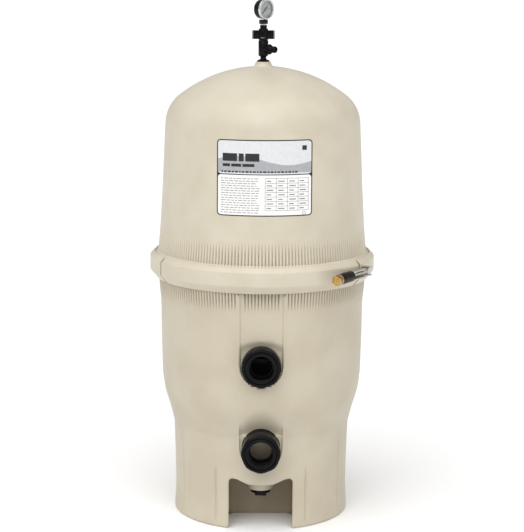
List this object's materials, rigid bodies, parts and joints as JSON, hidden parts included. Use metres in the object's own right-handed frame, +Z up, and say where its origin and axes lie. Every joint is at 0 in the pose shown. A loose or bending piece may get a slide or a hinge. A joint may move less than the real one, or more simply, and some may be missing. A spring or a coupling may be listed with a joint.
{
  "type": "pool filter tank",
  "caption": "Upright vertical-grid pool filter: moulded tank and domed lid held by a band clamp, with front port unions, drain, relief valve and gauge.",
  "frame": {"origin": "on the floor, under the tank's axis", "axes": "+Z up along the tank's axis, -Y towards the ports (the front), +X to the viewer's right"},
  "size_m": [0.576, 0.5788, 1.3212],
  "materials": {
    "lid_plastic": "moulded, satin, beige",
    "tank_plastic": "moulded, satin, beige",
    "black_plastic": "moulded, semi-gloss, black",
    "white_plastic": "moulded, satin, white",
    "clear_plastic": "clear, glossy",
    "rubber": "matt",
    "brass": "machined",
    "steel": "satin stainless",
    "dark_steel": "dark plated, satin",
    "chrome": "polished",
    "grid_cloth": "woven polypropylene cloth over a moulded frame",
    "label_film": "printed film, satin"
  },
  "bodies": {
    "root": {"air_bleed_tube": "clear_plastic", "air_strainer": "white_plastic", "clamp_front_saddle": "steel", "clamp_front_segment": "lid_plastic", "clamp_left_pin": "steel", "clamp_left_segment": "lid_plastic", "clamp_rear_pin": "steel", "clamp_right_saddle": "steel", "clamp_right_segment": "lid_plastic", "clamp_swivel_block": "steel", "clamp_t_bolt": "steel", "filter_grid_1": "grid_cloth", "filter_grid_2": "grid_cloth", "filter_grid_3": "grid_cloth", "filter_grid_4": "grid_cloth", "filter_grid_5": "grid_cloth", "filter_grid_6": "grid_cloth", "filter_grid_7": "grid_cloth", "filter_grid_8": "grid_cloth", "gauge_adapter": "black_plastic", "gauge_bezel": "chrome", "gauge_case": "black_plastic", "gauge_dial": "white_plastic", "gauge_lens": "clear_plastic", "gauge_stem": "steel", "grid_manifold": "black_plastic", "grid_spacer": "black_plastic", "inlet_bulkhead": "black_plastic", "inlet_diffuser": "black_plastic", "inlet_gasket": "rubber", "inlet_locknut": "black_plastic", "inlet_union_o_ring": "rubber", "label_plate": "label_film", "lid": "lid_plastic", "lower_tank": "tank_plastic", "outlet_bulkhead": "black_plastic", "outlet_gasket": "rubber", "outlet_locknut": "black_plastic", "outlet_riser": "black_plastic", "outlet_union_o_ring": "rubber", "relief_nozzle": "black_plastic", "relief_valve_body": "black_plastic", "relief_valve_o_ring": "rubber", "tank_o_ring": "rubber", "tie_rod": "steel", "tie_rod_nut": "brass", "tie_rod_washer": "steel"},
    "gauge_needle": {"gauge_pointer": "black_plastic"},
    "valve_handle": {"relief_valve_handle": "black_plastic"},
    "clamp_spring_set": {"clamp_spring_barrel": "dark_steel", "clamp_spring": "steel", "clamp_washer": "steel"},
    "clamp_nut_body": {"clamp_nut": "brass"},
    "outlet_tail": {"outlet_tailpiece": "black_plastic"},
    "outlet_nut": {"outlet_union_nut": "black_plastic"},
    "inlet_tail": {"inlet_tailpiece": "black_plastic"},
    "inlet_nut": {"inlet_union_nut": "black_plastic"},
    "drain_seal": {"drain_o_ring": "rubber"},
    "drain_screw": {"drain_plug": "black_plastic"}
  },
  "joints": [
    {"name": "gauge_pointer_turn", "type": "hinge", "parent": "root", "child": "gauge_needle", "pos_m": [0, 0, 1.2954], "axis": [0.6947, -0.7193, 0], "range_deg": [-270, 0]},
    {"name": "relief_handle_turn", "type": "hinge", "parent": "root", "child": "valve_handle", "pos_m": [0, 0, 1.2324], "axis": [0, 0, 1], "range_deg": [0, 90]},
    {"name": "clamp_barrel_travel", "type": "slide", "parent": "root", "child": "clamp_spring_set", "axis": [-0.5299, -0.848, 0], "range_m": [0, 0.00486]},
    {"name": "clamp_nut_turn", "type": "hinge", "parent": "clamp_spring_set", "child": "clamp_nut_body", "pos_m": [0.25696, -0.16057, 0.6535], "axis": [-0.5299, -0.848, 0], "range_deg": [0, 1080]},
    {"name": "outlet_tail_travel", "type": "slide", "parent": "root", "child": "outlet_tail", "axis": [0, -1, 0], "range_m": [0, 0.01295]},
    {"name": "outlet_nut_turn", "type": "hinge", "parent": "outlet_tail", "child": "outlet_nut", "pos_m": [0, -0.27, 0.433], "axis": [0, -1, 0], "range_deg": [0, 1080]},
    {"name": "inlet_tail_travel", "type": "slide", "parent": "root", "child": "inlet_tail", "axis": [0, -1, 0], "range_m": [0, 0.01295]},
    {"name": "inlet_nut_turn", "type": "hinge", "parent": "inlet_tail", "child": "inlet_nut", "pos_m": [0, -0.27, 0.2156], "axis": [0, -1, 0], "range_deg": [0, 1080]},
    {"name": "drain_seal_travel", "type": "slide", "parent": "root", "child": "drain_seal", "axis": [0, 0, -1], "range_m": [0, 0.01126]},
    {"name": "drain_plug_turn", "type": "hinge", "parent": "drain_seal", "child": "drain_screw", "pos_m": [0, -0.125, 0.08], "axis": [0, 0, -1], "range_deg": [0, 1800]}
  ],
  "couplings": [
    {"joint": "clamp_barrel_travel", "follows": "clamp_nut_turn", "m_per_rad": 0.00025266},
    {"joint": "outlet_tail_travel", "follows": "outlet_nut_turn", "m_per_rad": 0.00067375},
    {"joint": "inlet_tail_travel", "follows": "inlet_nut_turn", "m_per_rad": 0.00067375},
    {"joint": "drain_seal_travel", "follows": "drain_plug_turn", "m_per_rad": 0.00035153}
  ]
}
